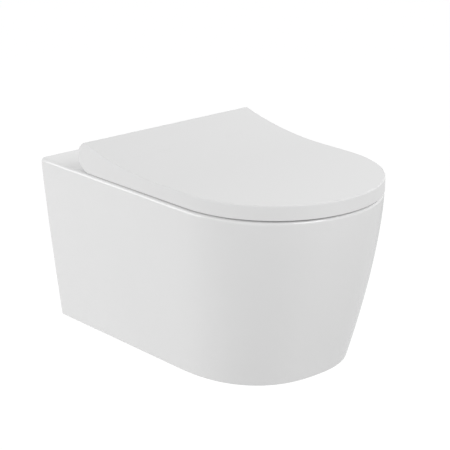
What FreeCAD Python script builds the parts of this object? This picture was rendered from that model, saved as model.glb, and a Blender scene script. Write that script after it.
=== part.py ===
import FreeCAD, Part
import math
import os

# Wall hung toilet. Millimetres, +Z up. The origin lies on the wall plane, midway between the
# two wall fixings. +Y goes into the wall, so the front of the pan is towards -Y.

V = FreeCAD.Vector

# ---- wall connections: the standard positions for a wall frame
FIXING_SPACING = 180.0
INLET_Z = 35.0
OUTLET_Z = -100.0

# ---- pan, outside: a D-shaped plan that gets narrower and shorter towards the foot
RIM_Z = 80.0
PAN_HEIGHT = 282.0
FOOT_Z = RIM_Z - PAN_HEIGHT
PAN_WIDTH = 350.0
PAN_LENGTH = 540.0
PAN_RUN = 355.0
PAN_POWER = 2.05
FOOT_WIDTH = 285.5
FOOT_LENGTH = 471.5
FOOT_RUN = 308.0
FOOT_POWER = 2.4
LENGTH_LEAN = 1.44
WIDTH_LEAN = 1.17
RIM_ROUND = 6.0
FOOT_ROUND = 3.0

# ---- pan, walls
WALL = 11.0
DECK = 14.0
BACK_PLATE = 14.0
BACK_PLATE_LOW_Z = -35.0
ACCESS_HALF_WIDTH = 118.0
ACCESS_DEPTH = 150.0

# ---- bowl: height, front, back and half width of its inside, from the rim to the sump floor
BOWL_STATIONS = [
    (RIM_Z, -505.0, -172.0, 133.0),
    (40.0, -501.0, -174.0, 130.0),
    (-10.0, -480.0, -180.0, 116.0),
    (-60.0, -430.0, -190.0, 90.0),
    (-105.0, -368.0, -200.0, 64.0),
    (-150.0, -318.0, -208.0, 46.0),
    (-186.0, -290.0, -218.0, 34.0),
]
BOWL_POWER = 2.3
BOWL_WALL = 10.0
BOWL_ROUND = 6.0

# ---- trap: the way from the sump over the weir to the outlet, as (y, z, radius of the turn)
TRAP_BORE_R = 25.0
TRAP_WALL = 9.0
TRAP_SILL = 2.0
TRAP_LOW_Z = BOWL_STATIONS[-1][0] + TRAP_SILL + TRAP_BORE_R
TRAP_CROWN_Z = -61.0
TRAP_ROUTE = [
    (-262.0, TRAP_LOW_Z, 0.0),
    (-172.0, TRAP_LOW_Z, 38.0),
    (-172.0, TRAP_CROWN_Z, 38.0),
    (-111.0, TRAP_CROWN_Z, 38.0),
    (-85.0, OUTLET_Z, 38.0),
    (-58.0, OUTLET_Z, 0.0),
]

# ---- outlet horn and inlet
SPIGOT_R = 51.0
SPIGOT_LENGTH = 50.0
SPIGOT_BORE_R = 40.0
HORN_R = 48.0
HORN_LENGTH = 76.0
HORN_CONE = 18.0
PIPE_SETBACK = 2.0
INLET_BORE_R = 27.5
INLET_WALL = 8.5
INLET_LENGTH = 62.0
DUCT_HALF_WIDTH = 30.0
DUCT_LOW_Z = 24.0
DUCT_HIGH_Z = 52.0
DUCT_WALL = 10.0
DUCT_END_Y = -186.0
DUCT_OVERLAP = 6.0

# ---- the casting's sections, which meet on flat faces
BACK_SECTION_Y = -33.0
DUCT_SECTION_Y = -160.0
TRAP_SECTION_Y = -222.0
TRAP_SECTION_Z = -20.0

# ---- inlet seal
SEAL_BORE_R = 22.5
SEAL_FLANGE_R = 32.0
SEAL_FLANGE = 3.0
SEAL_RECESS_R = 32.5
SEAL_RECESS = 4.0
SEAL_LENGTH = 31.0

# ---- wall fixings, M12
BOSS_R = 23.0
BOSS_LENGTH = 50.0
BOSS_HOLE_R = 11.0
SLEEVE_R = 10.5
SLEEVE_BORE_R = 6.5
SLEEVE_FLANGE_R = 20.0
SLEEVE_FLANGE = 3.0
WASHER_R = 18.5
WASHER_HOLE_R = 6.75
WASHER = 3.0
NUT_ACROSS_FLATS = 19.0
NUT_BORE_R = 5.1
NUT = 10.0

# ---- hinge: one axis for the seat and the cover
HINGE_Y = -122.5
HINGE_Z = RIM_Z + 26.0
HOLE_X = 77.5
HOLE_Y = -162.0
HOLE_R = 7.0
POST_HALF_WIDTH = 13.0
BARREL_R = 13.0
KNUCKLE_R = 12.0
SIDE_GAP = 0.4
SEAT_KNUCKLE = 18.1
COVER_KNUCKLE = 14.1

# ---- hinge post and its fixing, M6
GASKET = 1.5
FOOT = 4.5
POST_FRONT_Y = -173.0
POST_BACK_Y = -151.0
POST_TOP_Z = RIM_Z + 27.0
FOOT_LIP = 3.0
ARM_LOW_Z = HINGE_Z - 7.0
SCREW_R = 3.0
SCREW_HOLE_R = 3.25
SCREW_HEAD_R = 5.5
SCREW_HEAD = 4.0
HEAD_BORE_R = 6.0
HEAD_BORE = 6.0
SCREW_END_Z = RIM_Z - 36.0
CAP_R = 7.5
CAP = 1.2
PLUG_COLLAR_R = 9.5
PLUG_END_Z = RIM_Z - 26.0
PLUG_NUT_R = 6.5
PLUG_NUT_END_Z = RIM_Z - 35.0

# ---- dampers
DAMPER_R = 9.5
CHAMBER_R = 8.0
DAMPER_END = 3.0
JOURNAL_R = 4.5
JOURNAL_BORE_R = 4.55
SHAFT_FLAT = 3.25
VANE = 3.0
VANE_R = 7.6
END_PLAY = 0.5

# ---- seat
SEAT_LOW_Z = RIM_Z + 4.0
SEAT = 13.0
SEAT_WIDTH = 328.0
SEAT_LENGTH = 533.0
SEAT_BACK_Y = -148.0
SEAT_HOLE_BACK_Y = -188.0
SEAT_HOLE_FRONT_Y = -476.0
SEAT_HOLE_HALF_WIDTH = 112.0
SEAT_TOP_ROUND = 4.0
SEAT_LOW_ROUND = 2.0
RECESS_FRONT_Y = -178.5
KNUCKLE_ARM_LOW_Z = HINGE_Z - 8.2

# ---- cover
COVER_WIDTH = 344.0
COVER_LENGTH = 541.0
COVER_RUN = 364.0
COVER_POWER = 2.05
COVER_LOW_Z = RIM_Z + 2.5
COVER_TOP_Z = RIM_Z + 24.5
COVER_WALL = 5.0
DISH_START_Y = -300.0
DISH_R = 660.0
COVER_END_R = 24.0
CREASE_ROUND = 3.0
COVER_ROUND = 2.2
END_WALL_LOW_ANGLE = -50.0
NOTCH_HIGH_ANGLE = 36.0
NOTCH_GAP = 2.0

# ---- buffers, as (x, y) on the left side; each has a twin on the right
SEAT_BUFFERS = {"front": (88.0, -488.0), "rear": (140.0, -235.0)}
COVER_BUFFERS = {"front": (70.0, -500.0), "rear": (138.0, -330.0)}
BUFFER_R = 9.0
BUFFER_STEM_R = 3.5
BUFFER_STEM = 5.0

SIDES = {"left": -1, "right": 1}
BEYOND = 5.0


# ---- plain shapes

def cylinder_y(x, z, radius, y_from, y_to):
    """Round bar along Y."""
    low = min(y_from, y_to)
    return Part.makeCylinder(radius, abs(y_to - y_from), V(x, low, z), V(0, 1, 0))


def cylinder_z(x, y, radius, z_from, z_to):
    """Round bar along Z."""
    low = min(z_from, z_to)
    return Part.makeCylinder(radius, abs(z_to - z_from), V(x, y, low), V(0, 0, 1))


def hinge_bar(radius, x_from, x_to):
    """Round bar on the hinge axis."""
    low = min(x_from, x_to)
    return Part.makeCylinder(radius, abs(x_to - x_from), V(low, HINGE_Y, HINGE_Z), V(1, 0, 0))


def block(x_from, x_to, y_from, y_to, z_from, z_to):
    """Box between two corners, given in any order."""
    low = V(min(x_from, x_to), min(y_from, y_to), min(z_from, z_to))
    return Part.makeBox(abs(x_to - x_from), abs(y_to - y_from), abs(z_to - z_from), low)


def side_prism(points, x_from, x_to):
    """Prism along X from a list of (y, z) corners."""
    corners = [V(min(x_from, x_to), y, z) for y, z in points]
    face = Part.Face(Part.makePolygon(corners + corners[:1]))
    return face.extrude(V(abs(x_to - x_from), 0, 0))


def fuse_all(shapes):
    return shapes[0].multiFuse(shapes[1:])


def spread(value, power):
    """Signed power, for superellipses."""
    return math.copysign(abs(value) ** power, value)


def hinge_point(radius, degrees):
    """(y, z) at a radius from the hinge axis; 0 degrees is to the wall and 90 is up."""
    angle = math.radians(degrees)
    return HINGE_Y + radius * math.cos(angle), HINGE_Z + radius * math.sin(angle)


# ---- outlines

def d_outline(half_width, run, reach, power, z, back_y):
    """One smooth curve of straight sides and a superellipse nose, closed by a straight back."""
    side_steps = 12
    nose_steps = 24
    points = []
    for i in range(side_steps):
        points.append(V(half_width, back_y - (run + back_y) * i / side_steps, z))
    for i in range(nose_steps + 1):
        angle = math.pi * i / nose_steps
        x = half_width * spread(math.cos(angle), 2 / power)
        y = -run - (reach - run) * spread(math.sin(angle), 2 / power)
        points.append(V(x, y, z))
    for i in range(side_steps):
        points.append(V(-half_width, -run + (run + back_y) * (i + 1) / side_steps, z))
    curve = Part.BSplineCurve()
    curve.interpolate(Points=points, InitialTangent=V(0, -1, 0), FinalTangent=V(0, 1, 0))
    return Part.Wire([curve.toShape(), Part.LineSegment(points[-1], points[0]).toShape()])


def pan_outline(z, inset=0.0, back_y=0.0):
    """The pan's plan at height z, drawn in by `inset`."""
    depth = min(max((RIM_Z - z) / PAN_HEIGHT, 0.0), 1.0)
    shorter = depth ** LENGTH_LEAN
    narrower = depth ** WIDTH_LEAN
    half_width = (PAN_WIDTH + (FOOT_WIDTH - PAN_WIDTH) * narrower) / 2
    reach = PAN_LENGTH + (FOOT_LENGTH - PAN_LENGTH) * shorter
    run = PAN_RUN + (FOOT_RUN - PAN_RUN) * shorter
    power = PAN_POWER + (FOOT_POWER - PAN_POWER) * depth
    return d_outline(half_width - inset, run, reach - inset, power, z, back_y)


def oval(half_width, front_y, back_y, z, power=BOWL_POWER):
    """Closed superellipse between a front and a back."""
    middle = (front_y + back_y) / 2
    half_length = (back_y - front_y) / 2
    steps = 32
    points = []
    for i in range(steps):
        angle = 2 * math.pi * i / steps
        x = half_width * spread(math.cos(angle), 2 / power)
        y = middle + half_length * spread(math.sin(angle), 2 / power)
        points.append(V(x, y, z))
    curve = Part.BSplineCurve()
    curve.interpolate(Points=points, PeriodicFlag=True)
    return Part.Wire([curve.toShape()])


def level_edges(shape, z):
    """Edges that lie wholly at height z."""
    found = []
    for edge in shape.Edges:
        box = edge.BoundBox
        if abs(box.ZMin - z) < 0.01 and abs(box.ZMax - z) < 0.01:
            found.append(edge)
    return found


# ---- pan

def pan_block():
    """The pan's solid outside."""
    levels = [FOOT_Z + PAN_HEIGHT * i / 7 for i in range(8)]
    outside = Part.makeLoft([pan_outline(z, back_y=20.0) for z in levels], True, False)
    outside = outside.cut(block(-300, 300, 0, 60, -400, 400))
    for z, radius in ((RIM_Z, RIM_ROUND), (FOOT_Z, FOOT_ROUND)):
        around = [e for e in level_edges(outside, z) if e.BoundBox.YLength > 1]
        outside = outside.makeFillet(radius, around)
    return outside


def bowl(grow=0.0):
    """The bowl's inside, or with `grow` its outside."""
    wires = []
    for z, front_y, back_y, half_width in BOWL_STATIONS:
        wires.append(oval(half_width + grow, front_y - grow, back_y + grow, z))
    if grow:
        z, front_y, back_y, half_width = BOWL_STATIONS[-1]
        wires.append(oval(half_width + grow, front_y - grow, back_y + grow, z - grow))
    return Part.makeLoft(wires, True, False)


def route_wire(route):
    """Straight runs joined by tangent arcs, in the plane x = 0."""
    points = [V(0, y, z) for y, z, radius in route]
    edges = []
    start = points[0]
    for i in range(1, len(route) - 1):
        before = (points[i - 1] - points[i]).normalize()
        after = (points[i + 1] - points[i]).normalize()
        half_turn = (math.pi - before.getAngle(after)) / 2
        radius = route[i][2]
        trim = radius * math.tan(half_turn)
        arc_start = points[i] + before * trim
        arc_end = points[i] + after * trim
        bisector = (before + after).normalize()
        centre = points[i] + bisector * (radius / math.cos(half_turn))
        arc_middle = centre - bisector * radius
        edges.append(Part.LineSegment(start, arc_start).toShape())
        edges.append(Part.Arc(arc_start, arc_middle, arc_end).toShape())
        start = arc_end
    edges.append(Part.LineSegment(start, points[-1]).toShape())
    return Part.Wire(edges)


def trap(radius):
    """Round bar along the trap's route."""
    first_y, first_z, _ = TRAP_ROUTE[0]
    section = Part.Wire([Part.makeCircle(radius, V(0, first_y, first_z), V(0, 1, 0))])
    return route_wire(TRAP_ROUTE).makePipeShell([section], True, False)


def outlet(outside):
    """The outlet horn: its outside with the spigot, or its bore."""
    end_y = -PIPE_SETBACK
    back_y = end_y - HORN_LENGTH
    narrow = TRAP_BORE_R + (TRAP_WALL if outside else 0.0)
    wide = HORN_R if outside else SPIGOT_BORE_R
    tip_y = end_y if outside else 1.0
    cone = Part.makeCone(narrow, wide, HORN_CONE, V(0, back_y, OUTLET_Z), V(0, 1, 0))
    straight = cylinder_y(0, OUTLET_Z, wide, back_y + HORN_CONE, tip_y)
    pieces = [cone, straight]
    if outside:
        pieces.append(cylinder_y(0, OUTLET_Z, SPIGOT_R, end_y - SPIGOT_LENGTH, end_y))
    return fuse_all(pieces)


def flush_passage(outside):
    """The inlet and the duct to the bowl: the outside or the passage."""
    wall = INLET_WALL if outside else 0.0
    duct_wall = DUCT_WALL if outside else 0.0
    duct_end = BOWL_STATIONS[0][2] - BOWL_WALL / 2 if outside else DUCT_END_Y
    tube = cylinder_y(0, INLET_Z, INLET_BORE_R + wall, -INLET_LENGTH - wall, 0)
    duct = block(
        -DUCT_HALF_WIDTH - duct_wall, DUCT_HALF_WIDTH + duct_wall,
        duct_end, -INLET_LENGTH + DUCT_OVERLAP,
        DUCT_LOW_Z - duct_wall, DUCT_HIGH_Z + duct_wall,
    )
    return tube.fuse(duct)


def shell():
    """Skirt, foot, back plate, and the deck with the bowl's mouth through it."""
    outside = pan_block()
    steps = 6
    height = PAN_HEIGHT - WALL - DECK
    levels = [FOOT_Z + WALL + height * i / steps for i in range(steps + 1)]
    hollow = Part.makeLoft([pan_outline(z, WALL, -BACK_PLATE) for z in levels], True, False)
    low_z = FOOT_Z - BEYOND
    skin = outside.cut(hollow).cut(bowl())
    cuts = [
        block(-ACCESS_HALF_WIDTH, ACCESS_HALF_WIDTH, -BACK_PLATE - 1, BEYOND, low_z, BACK_PLATE_LOW_Z),
        block(-ACCESS_HALF_WIDTH, ACCESS_HALF_WIDTH, -ACCESS_DEPTH, BEYOND, low_z, FOOT_Z + WALL + 1),
        cylinder_y(0, INLET_Z, INLET_BORE_R, -BACK_PLATE - 1, 1),
        cylinder_y(0, INLET_Z, SEAL_RECESS_R, -SEAL_RECESS, 1),
    ]
    for sign in SIDES.values():
        cuts.append(cylinder_y(sign * FIXING_SPACING / 2, 0, BOSS_HOLE_R, -BACK_PLATE - 1, 1))
        cuts.append(cylinder_z(sign * HOLE_X, HOLE_Y, HOLE_R, RIM_Z - DECK - 1, RIM_Z + 1))
    for cut in cuts:
        skin = skin.cut(cut)
    mouth = [
        edge for edge in level_edges(skin, RIM_Z)
        if edge.BoundBox.XLength > BOWL_STATIONS[0][3] and edge.BoundBox.YMin > -PAN_LENGTH + RIM_ROUND + 1
        and edge.BoundBox.YMax < HOLE_Y
    ]
    return skin.makeFillet(BOWL_ROUND, mouth)


def pan(skin):
    """The front section: all of the skin but its rear."""
    return skin.cut(block(-PAN_WIDTH, PAN_WIDTH, BACK_SECTION_Y, BEYOND, FOOT_Z - BEYOND, RIM_Z + BEYOND))


def pan_back(skin):
    """The rear section: the back plate and the end of the skirt and deck round it."""
    return skin.common(block(-PAN_WIDTH, PAN_WIDTH, BACK_SECTION_Y, BEYOND, FOOT_Z - BEYOND, RIM_Z + BEYOND))


def fixing_boss(x):
    """Round boss behind the back plate that the fixing passes through."""
    boss = cylinder_y(x, 0, BOSS_R, -BOSS_LENGTH, -BACK_PLATE)
    return boss.cut(cylinder_y(x, 0, BOSS_HOLE_R, -BOSS_LENGTH - 1, 1))


def flush_way():
    """The inlet tube and the duct, from the back plate to the bowl, under the deck."""
    room = block(-PAN_WIDTH, PAN_WIDTH, DUCT_SECTION_Y, -BACK_PLATE, FOOT_Z, RIM_Z - DECK)
    return flush_passage(True).common(room).cut(flush_passage(False))


def bowl_and_trap():
    """Under the deck: the bowl with the flush duct's mouth, and its low rear with the trap and outlet."""
    floor_z = FOOT_Z + WALL
    solid = fuse_all([bowl(BOWL_WALL), trap(TRAP_BORE_R + TRAP_WALL), outlet(True)])
    mouth = flush_passage(True).common(
        block(-PAN_WIDTH, PAN_WIDTH, -PAN_LENGTH, DUCT_SECTION_Y, FOOT_Z, RIM_Z - DECK))
    solid = solid.fuse(mouth)
    solid = solid.common(block(-PAN_WIDTH, PAN_WIDTH, -PAN_LENGTH, 0, floor_z, RIM_Z - DECK))
    for passage in (bowl(), trap(TRAP_BORE_R), outlet(False), flush_passage(False)):
        solid = solid.cut(passage)
    low_rear = block(-PAN_WIDTH, PAN_WIDTH, TRAP_SECTION_Y, 0, FOOT_Z, TRAP_SECTION_Z)
    return solid.cut(low_rear), solid.common(low_rear)


def inlet_seal():
    """Flanged rubber ring that grips the flush pipe."""
    face_y = -(SEAL_RECESS - SEAL_FLANGE)
    flange = cylinder_y(0, INLET_Z, SEAL_FLANGE_R, -SEAL_RECESS, face_y)
    tube = cylinder_y(0, INLET_Z, INLET_BORE_R, face_y - SEAL_LENGTH, face_y)
    bore = cylinder_y(0, INLET_Z, SEAL_BORE_R, face_y - SEAL_LENGTH - 1, 1)
    return flange.fuse(tube).cut(bore)


# ---- wall fixings

def fixing_sleeve(x):
    end_y = -BOSS_LENGTH - SLEEVE_FLANGE
    tube = cylinder_y(x, 0, SLEEVE_R, end_y, 0)
    flange = cylinder_y(x, 0, SLEEVE_FLANGE_R, end_y, -BOSS_LENGTH)
    return tube.fuse(flange).cut(cylinder_y(x, 0, SLEEVE_BORE_R, end_y - 1, 1))


def fixing_washer(x):
    back_y = -BOSS_LENGTH - SLEEVE_FLANGE
    ring = cylinder_y(x, 0, WASHER_R, back_y - WASHER, back_y)
    return ring.cut(cylinder_y(x, 0, WASHER_HOLE_R, back_y - WASHER - 1, back_y + 1))


def fixing_nut(x):
    back_y = -BOSS_LENGTH - SLEEVE_FLANGE - WASHER
    corner_r = NUT_ACROSS_FLATS / math.sqrt(3)
    corners = []
    for i in range(7):
        angle = math.pi / 3 * i
        corners.append(V(x + corner_r * math.cos(angle), back_y, corner_r * math.sin(angle)))
    hexagon = Part.Face(Part.makePolygon(corners)).extrude(V(0, -NUT, 0))
    return hexagon.cut(cylinder_y(x, 0, NUT_BORE_R, back_y - NUT - 1, back_y + 1))


# ---- hinge posts and their fixing from above

def post_span(sign):
    """The two side faces of a post, from the middle outwards."""
    return sign * (HOLE_X - POST_HALF_WIDTH), sign * (HOLE_X + POST_HALF_WIDTH)


def hinge_post(sign):
    """Foot and column on the deck, and an arm back to the barrel on the hinge axis."""
    inner_x, outer_x = post_span(sign)
    low_z = RIM_Z + GASKET
    foot_z = low_z + FOOT
    profile = [
        (POST_FRONT_Y - FOOT_LIP, low_z),
        (POST_BACK_Y + FOOT_LIP, low_z),
        (POST_BACK_Y + FOOT_LIP, foot_z),
        (POST_BACK_Y, foot_z),
        (POST_BACK_Y, ARM_LOW_Z),
        (HINGE_Y, ARM_LOW_Z),
        (HINGE_Y - BARREL_R / 2, HINGE_Z + BARREL_R * math.sqrt(3) / 2),
        (POST_BACK_Y, POST_TOP_Z),
        (POST_FRONT_Y, POST_TOP_Z),
        (POST_FRONT_Y, foot_z),
        (POST_FRONT_Y - FOOT_LIP, foot_z),
    ]
    x = sign * HOLE_X
    body = side_prism(profile, inner_x, outer_x).fuse(hinge_bar(BARREL_R, inner_x, outer_x))
    cuts = [
        hinge_bar(DAMPER_R, inner_x, outer_x),
        cylinder_z(x, HOLE_Y, SCREW_HOLE_R, low_z - 1, POST_TOP_Z),
        cylinder_z(x, HOLE_Y, HEAD_BORE_R, POST_TOP_Z - HEAD_BORE, POST_TOP_Z + 1),
    ]
    for cut in cuts:
        body = body.cut(cut)
    return body


def hinge_gasket(sign):
    inner_x, outer_x = post_span(sign)
    inset = 0.5
    pad = block(
        inner_x + sign * inset, outer_x - sign * inset,
        POST_FRONT_Y - FOOT_LIP + inset, POST_BACK_Y + FOOT_LIP - inset,
        RIM_Z, RIM_Z + GASKET,
    )
    return pad.cut(cylinder_z(sign * HOLE_X, HOLE_Y, HOLE_R, RIM_Z - 1, RIM_Z + GASKET + 1))


def hinge_screw(sign):
    x = sign * HOLE_X
    seat_z = POST_TOP_Z - HEAD_BORE
    shank = cylinder_z(x, HOLE_Y, SCREW_R, SCREW_END_Z, seat_z)
    head = cylinder_z(x, HOLE_Y, SCREW_HEAD_R, seat_z, seat_z + SCREW_HEAD)
    socket = cylinder_z(x, HOLE_Y, SCREW_R * 0.8, seat_z + SCREW_HEAD / 2, seat_z + SCREW_HEAD + 1)
    return shank.fuse(head).cut(socket)


def hinge_cap(sign):
    """Round cap that closes the screw's hole, with a short spigot in it."""
    x = sign * HOLE_X
    disc = cylinder_z(x, HOLE_Y, CAP_R, POST_TOP_Z, POST_TOP_Z + CAP)
    spigot_low_z = POST_TOP_Z - HEAD_BORE + SCREW_HEAD
    spigot = cylinder_z(x, HOLE_Y, HEAD_BORE_R, spigot_low_z, POST_TOP_Z)
    return disc.fuse(spigot)


def expansion_plug(sign):
    """Rubber sleeve that the screw squeezes under the deck."""
    x = sign * HOLE_X
    collar_top_z = RIM_Z - DECK
    neck = cylinder_z(x, HOLE_Y, HOLE_R, PLUG_END_Z, RIM_Z)
    collar = cylinder_z(x, HOLE_Y, PLUG_COLLAR_R, PLUG_END_Z, collar_top_z)
    return neck.fuse(collar).cut(cylinder_z(x, HOLE_Y, SCREW_HOLE_R, PLUG_END_Z - 1, RIM_Z + 1))


def plug_nut(sign):
    x = sign * HOLE_X
    nut = cylinder_z(x, HOLE_Y, PLUG_NUT_R, PLUG_NUT_END_Z, PLUG_END_Z)
    return nut.cut(cylinder_z(x, HOLE_Y, SCREW_R, PLUG_NUT_END_Z - 1, PLUG_END_Z + 1))


# ---- dampers: the drive side turns a knuckle, the rest side is a journal for the other one

def damper_body(drive_x, rest_x, journal_length):
    way = math.copysign(1, drive_x - rest_x)
    barrel = hinge_bar(DAMPER_R, rest_x, drive_x)
    chamber = hinge_bar(CHAMBER_R, rest_x + way * DAMPER_END, drive_x)
    journal = hinge_bar(JOURNAL_R, rest_x, rest_x - way * journal_length)
    return barrel.cut(chamber).fuse(journal)


def damper_cap(drive_x, rest_x):
    way = math.copysign(1, drive_x - rest_x)
    disc = hinge_bar(CHAMBER_R, drive_x - way * DAMPER_END, drive_x)
    return disc.cut(hinge_bar(JOURNAL_BORE_R, drive_x - way * (DAMPER_END + 1), drive_x + way))


def flat_bar(x_from, x_to):
    """The shaft's two-flat end, also the shape of its socket in the knuckle."""
    low, high = HINGE_Z - SHAFT_FLAT, HINGE_Z + SHAFT_FLAT
    flats = block(x_from, x_to, HINGE_Y - JOURNAL_R, HINGE_Y + JOURNAL_R, low, high)
    return hinge_bar(JOURNAL_R, x_from, x_to).common(flats)


def damper_shaft(drive_x, rest_x, drive_length):
    way = math.copysign(1, drive_x - rest_x)
    inside_x = rest_x + way * (DAMPER_END + END_PLAY)
    vane_end_x = drive_x - way * (DAMPER_END + END_PLAY)
    shoulder_x = drive_x + way * SIDE_GAP
    vane = block(inside_x, vane_end_x, HINGE_Y - VANE / 2, HINGE_Y + VANE / 2,
                 HINGE_Z, HINGE_Z + VANE_R)
    round_part = hinge_bar(JOURNAL_R, inside_x, shoulder_x)
    return fuse_all([round_part, vane, flat_bar(shoulder_x, drive_x + way * drive_length)])


# ---- seat

def knuckle_span(sign, width, outboard):
    """Side faces of a knuckle beside a post."""
    inner_x, outer_x = post_span(sign)
    if outboard:
        return outer_x + sign * SIDE_GAP, outer_x + sign * (SIDE_GAP + width)
    return inner_x - sign * SIDE_GAP, inner_x - sign * (SIDE_GAP + width)


def seat():
    """Ring with two knuckles behind it, and a recess in front of each post."""
    top_z = SEAT_LOW_Z + SEAT
    outline = d_outline(SEAT_WIDTH / 2, COVER_RUN, SEAT_LENGTH, COVER_POWER, SEAT_LOW_Z, SEAT_BACK_Y)
    plate = Part.Face(outline).extrude(V(0, 0, SEAT))
    hole = Part.Face(oval(SEAT_HOLE_HALF_WIDTH, SEAT_HOLE_FRONT_Y, SEAT_HOLE_BACK_Y, SEAT_LOW_Z - 1))
    ring = plate.cut(hole.extrude(V(0, 0, SEAT + 2)))
    ring = ring.makeFillet(SEAT_TOP_ROUND, level_edges(ring, top_z))
    ring = ring.makeFillet(SEAT_LOW_ROUND, level_edges(ring, SEAT_LOW_Z))
    for sign in SIDES.values():
        inner_x, outer_x = post_span(sign)
        ring = ring.cut(block(
            inner_x - sign * SIDE_GAP, outer_x + sign * SIDE_GAP,
            RECESS_FRONT_Y, SEAT_BACK_Y + 1, SEAT_LOW_Z - 1, top_z + 1,
        ))
    for side, sign in SIDES.items():
        near_x, far_x = knuckle_span(sign, SEAT_KNUCKLE, outboard=False)
        arm = [
            (HINGE_Y, KNUCKLE_ARM_LOW_Z),
            (SEAT_BACK_Y - 0.5, KNUCKLE_ARM_LOW_Z),
            (SEAT_BACK_Y - 0.5, SEAT_LOW_Z + SEAT / 2),
            (RECESS_FRONT_Y, SEAT_LOW_Z + SEAT / 2),
            (RECESS_FRONT_Y, top_z),
            (SEAT_BACK_Y - 4, HINGE_Z + 1),
            (HINGE_Y, HINGE_Z + KNUCKLE_R / 2),
        ]
        knuckle = side_prism(arm, near_x, far_x).fuse(hinge_bar(KNUCKLE_R, near_x, far_x))
        if side == "right":
            socket = flat_bar(near_x, far_x)
        else:
            socket = hinge_bar(JOURNAL_BORE_R, near_x, far_x)
        ring = ring.fuse(knuckle).cut(socket)
    for place_x, place_y in SEAT_BUFFERS.values():
        for sign in SIDES.values():
            ring = ring.cut(cylinder_z(sign * place_x, place_y, BUFFER_STEM_R,
                                       SEAT_LOW_Z - 1, SEAT_LOW_Z + BUFFER_STEM))
    return ring


def seat_buffer(x, y):
    """Foot between the seat and the rim, with a stem in the seat."""
    foot = cylinder_z(x, y, BUFFER_R, RIM_Z, SEAT_LOW_Z)
    return foot.fuse(cylinder_z(x, y, BUFFER_STEM_R, SEAT_LOW_Z, SEAT_LOW_Z + BUFFER_STEM))


# ---- cover

def circle_meeting(centre_a, radius_a, centre_b, radius_b):
    """The two (y, z) points where two circles meet, lowest y first."""
    apart_y = centre_b[0] - centre_a[0]
    apart_z = centre_b[1] - centre_a[1]
    apart = math.hypot(apart_y, apart_z)
    along = (apart ** 2 + radius_a ** 2 - radius_b ** 2) / (2 * apart)
    across = math.sqrt(radius_a ** 2 - along ** 2)
    foot = (centre_a[0] + along * apart_y / apart, centre_a[1] + along * apart_z / apart)
    step = (-across * apart_z / apart, across * apart_y / apart)
    return sorted([
        (foot[0] + step[0], foot[1] + step[1]),
        (foot[0] - step[0], foot[1] - step[1]),
    ])


def cover_prism(offset, half_width, low_z):
    """The cover's side view drawn across its width: flat, then dished up to a round end."""
    top_z = COVER_TOP_Z - offset
    dish_r = DISH_R + offset
    end_r = COVER_END_R - offset
    dish_centre = (DISH_START_Y, COVER_TOP_Z + DISH_R)
    front_y = -COVER_LENGTH - 20

    def point(y, z):
        return V(-half_width, y, z)

    crease = circle_meeting((HINGE_Y, HINGE_Z), end_r, dish_centre, dish_r)[-1]
    half_way_y = (DISH_START_Y + crease[0]) / 2
    half_way_z = dish_centre[1] - math.sqrt(dish_r ** 2 - (half_way_y - DISH_START_Y) ** 2)
    low_angle = math.asin((low_z - HINGE_Z) / end_r) if low_z > HINGE_Z - end_r else -math.pi / 2
    end_low = hinge_point(end_r, math.degrees(low_angle))
    edges = [
        Part.LineSegment(point(front_y, low_z), point(front_y, top_z)).toShape(),
        Part.LineSegment(point(front_y, top_z), point(DISH_START_Y, top_z)).toShape(),
        Part.Arc(point(DISH_START_Y, top_z), point(half_way_y, half_way_z), point(*crease)).toShape(),
        Part.Arc(point(*crease), point(*hinge_point(end_r, 0)), point(*end_low)).toShape(),
    ]
    if end_low[1] > low_z + 0.01:
        edges.append(Part.LineSegment(point(*end_low), point(end_low[0], low_z)).toShape())
        end_low = (end_low[0], low_z)
    edges.append(Part.LineSegment(point(*end_low), point(front_y, low_z)).toShape())
    return Part.Face(Part.Wire(edges)).extrude(V(2 * half_width, 0, 0))


def cover_block():
    """The cover's solid outside. Its edges are rounded before it is trimmed level at the bottom."""
    plan = d_outline(COVER_WIDTH / 2, COVER_RUN, COVER_LENGTH, COVER_POWER, FOOT_Z, 0.0)
    prism = cover_prism(0.0, COVER_WIDTH, COVER_LOW_Z - COVER_END_R)
    solid = Part.Face(plan).extrude(V(0, 0, 600)).common(prism)
    crease = [
        edge for edge in solid.Edges
        if edge.BoundBox.XLength > COVER_WIDTH - 1 and edge.BoundBox.YMin > DISH_START_Y + 1
        and edge.BoundBox.ZMin > HINGE_Z
    ]
    solid = solid.makeFillet(CREASE_ROUND, crease)
    around = []
    for edge in solid.Edges:
        box = edge.BoundBox
        beside = box.XLength < 1 and box.ZMax > COVER_LOW_Z + 1
        over_nose = box.YMin < -COVER_RUN and box.ZMin > COVER_LOW_Z + 1
        if beside or over_nose:
            around.append(edge)
    solid = solid.makeFillet(COVER_ROUND, around)
    return solid.cut(block(-COVER_WIDTH, COVER_WIDTH, -2 * COVER_LENGTH, 0, FOOT_Z, COVER_LOW_Z))


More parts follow.
